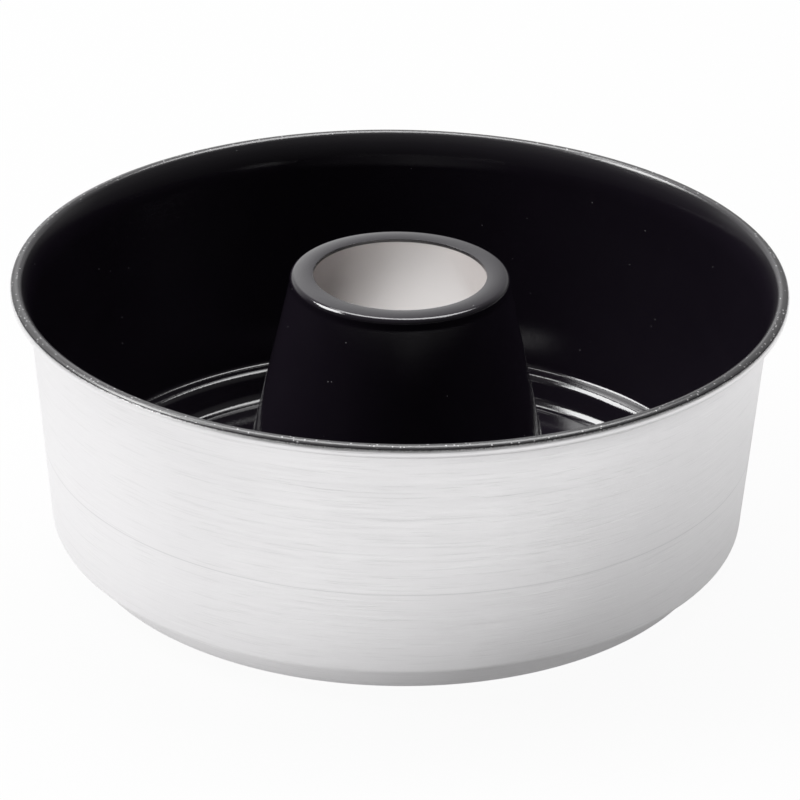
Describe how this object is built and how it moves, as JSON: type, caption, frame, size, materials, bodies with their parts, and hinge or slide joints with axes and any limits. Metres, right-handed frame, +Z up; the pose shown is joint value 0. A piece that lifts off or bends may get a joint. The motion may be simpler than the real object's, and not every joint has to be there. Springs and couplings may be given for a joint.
{
  "type": "ring cake pan",
  "caption": "Round deep-drawn aluminium ring cake pan with a rolled rim, a stepped foot, an open centre cone and a black non-stick lining.",
  "frame": {"origin": "on the pan's axis, at the level that its foot stands on", "axes": "+Z up along the pan's axis, out of its open top; the pan is round, so +X and +Y are free"},
  "size_m": [0.25, 0.25, 0.0936],
  "materials": {
    "bare_aluminium": "bare, brushed round the wall",
    "nonstick_black": "glossy black non-stick film"
  },
  "bodies": {
    "root": {"pan_pressing": "bare_aluminium", "nonstick_coat": "nonstick_black"}
  },
  "joints": []
}
